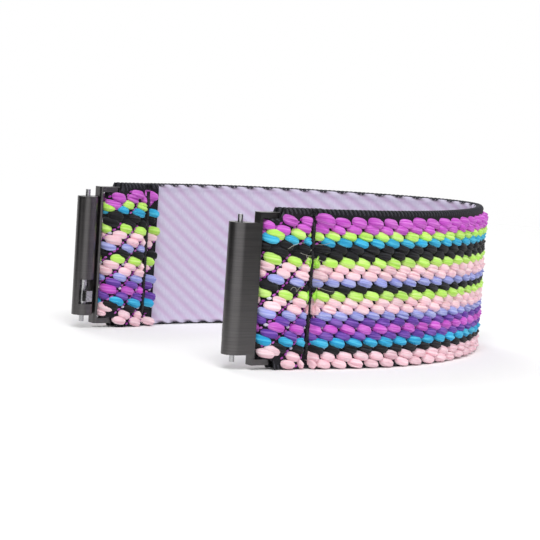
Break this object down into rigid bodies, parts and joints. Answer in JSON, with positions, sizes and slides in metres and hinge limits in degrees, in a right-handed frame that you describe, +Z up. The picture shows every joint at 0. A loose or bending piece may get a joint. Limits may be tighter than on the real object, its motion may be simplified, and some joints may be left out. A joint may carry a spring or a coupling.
{
  "type": "stretch watch band",
  "caption": "Closed-loop stretch watch band of striped woven elastic webbing, folded round a bar and sewn at each end, with metal connectors and quick-release spring bars.",
  "frame": {"origin": "on the surface that the band stands on, under the centre of its box", "axes": "+X from the connectors to the closed end of the loop, +Y from end a to end b, +Z up along the width of the webbing"},
  "size_m": [0.0656, 0.054, 0.0244],
  "materials": {
    "face_yarn": "textured nylon yarn in coloured rows",
    "webbing": "woven nylon, black",
    "lining": "woven nylon, pale lavender",
    "rubber": "matte natural rubber",
    "thread": "polyester thread, black",
    "gunmetal": "brushed, black coated",
    "steel": "bright turned steel"
  },
  "bodies": {
    "back": {"webbing_back": "webbing", "rubber_back": "rubber", "lining_back": "lining", "face_back": "face_yarn"},
    "side_a": {"webbing_side_a": "webbing", "rubber_side_a": "rubber", "lining_side_a": "lining", "face_side_a": "face_yarn"},
    "loop_a": {"webbing_loop_a": "webbing", "rubber_loop_a": "rubber", "lining_loop_a": "lining", "face_loop_a": "face_yarn", "seam_thread_a": "thread"},
    "connector_a": {"connector_a": "gunmetal", "strap_bar_a": "steel"},
    "spring_bar_a": {"bar_tube_a": "steel", "fixed_tip_a": "steel", "bar_spring_a": "steel"},
    "release_a": {"plunger_a": "steel", "release_knob_a": "steel"},
    "side_b": {"webbing_side_b": "webbing", "rubber_side_b": "rubber", "lining_side_b": "lining", "face_side_b": "face_yarn"},
    "loop_b": {"webbing_loop_b": "webbing", "rubber_loop_b": "rubber", "lining_loop_b": "lining", "face_loop_b": "face_yarn", "seam_thread_b": "thread"},
    "connector_b": {"connector_b": "gunmetal", "strap_bar_b": "steel"},
    "spring_bar_b": {"bar_tube_b": "steel", "fixed_tip_b": "steel", "bar_spring_b": "steel"},
    "release_b": {"plunger_b": "steel", "release_knob_b": "steel"}
  },
  "joints": [
    {"name": "flex_a", "type": "hinge", "parent": "back", "child": "side_a", "pos_m": [0.0188, -0.01749, 0.0122], "axis": [0, 0, 1], "range_deg": [-20, 30], "stiffness_Nm_per_rad": 0.02},
    {"name": "stretch_a", "type": "slide", "parent": "side_a", "child": "loop_a", "axis": [-0.9962, 0.0872, 0], "range_m": [0, 0.01], "stiffness_N_per_m": 500, "deforming": ["webbing_side_a", "rubber_side_a", "lining_side_a", "face_side_a"]},
    {"name": "swivel_a", "type": "hinge", "parent": "loop_a", "child": "connector_a", "pos_m": [-0.02561, -0.0233, 0.0122], "axis": [0, 0, 1], "range_deg": [-20, 20]},
    {"name": "turn_a", "type": "hinge", "parent": "connector_a", "child": "spring_bar_a", "pos_m": [-0.0311, -0.0225, 0.0122], "axis": [0, 0, 1], "range_deg": [-20, 20]},
    {"name": "release_a", "type": "slide", "parent": "spring_bar_a", "child": "release_a", "axis": [0, 0, 1], "range_m": [0, 0.0013], "stiffness_N_per_m": 300, "deforming": ["bar_spring_a"]},
    {"name": "flex_b", "type": "hinge", "parent": "back", "child": "side_b", "pos_m": [0.0188, 0.01749, 0.0122], "axis": [0, 0, -1], "range_deg": [-20, 30], "stiffness_Nm_per_rad": 0.02},
    {"name": "stretch_b", "type": "slide", "parent": "side_b", "child": "loop_b", "axis": [-0.9962, -0.0872, 0], "range_m": [0, 0.01], "stiffness_N_per_m": 500, "deforming": ["webbing_side_b", "rubber_side_b", "lining_side_b", "face_side_b"]},
    {"name": "swivel_b", "type": "hinge", "parent": "loop_b", "child": "connector_b", "pos_m": [-0.02561, 0.0233, 0.0122], "axis": [0, 0, -1], "range_deg": [-20, 20]},
    {"name": "turn_b", "type": "hinge", "parent": "connector_b", "child": "spring_bar_b", "pos_m": [-0.0311, 0.0225, 0.0122], "axis": [0, 0, -1], "range_deg": [-20, 20]},
    {"name": "release_b", "type": "slide", "parent": "spring_bar_b", "child": "release_b", "axis": [0, 0, 1], "range_m": [0, 0.0013], "stiffness_N_per_m": 300, "deforming": ["bar_spring_b"]}
  ],
  "couplings": [
    {"joint": "stretch_b", "follows": "stretch_a", "ratio": 1}
  ]
}
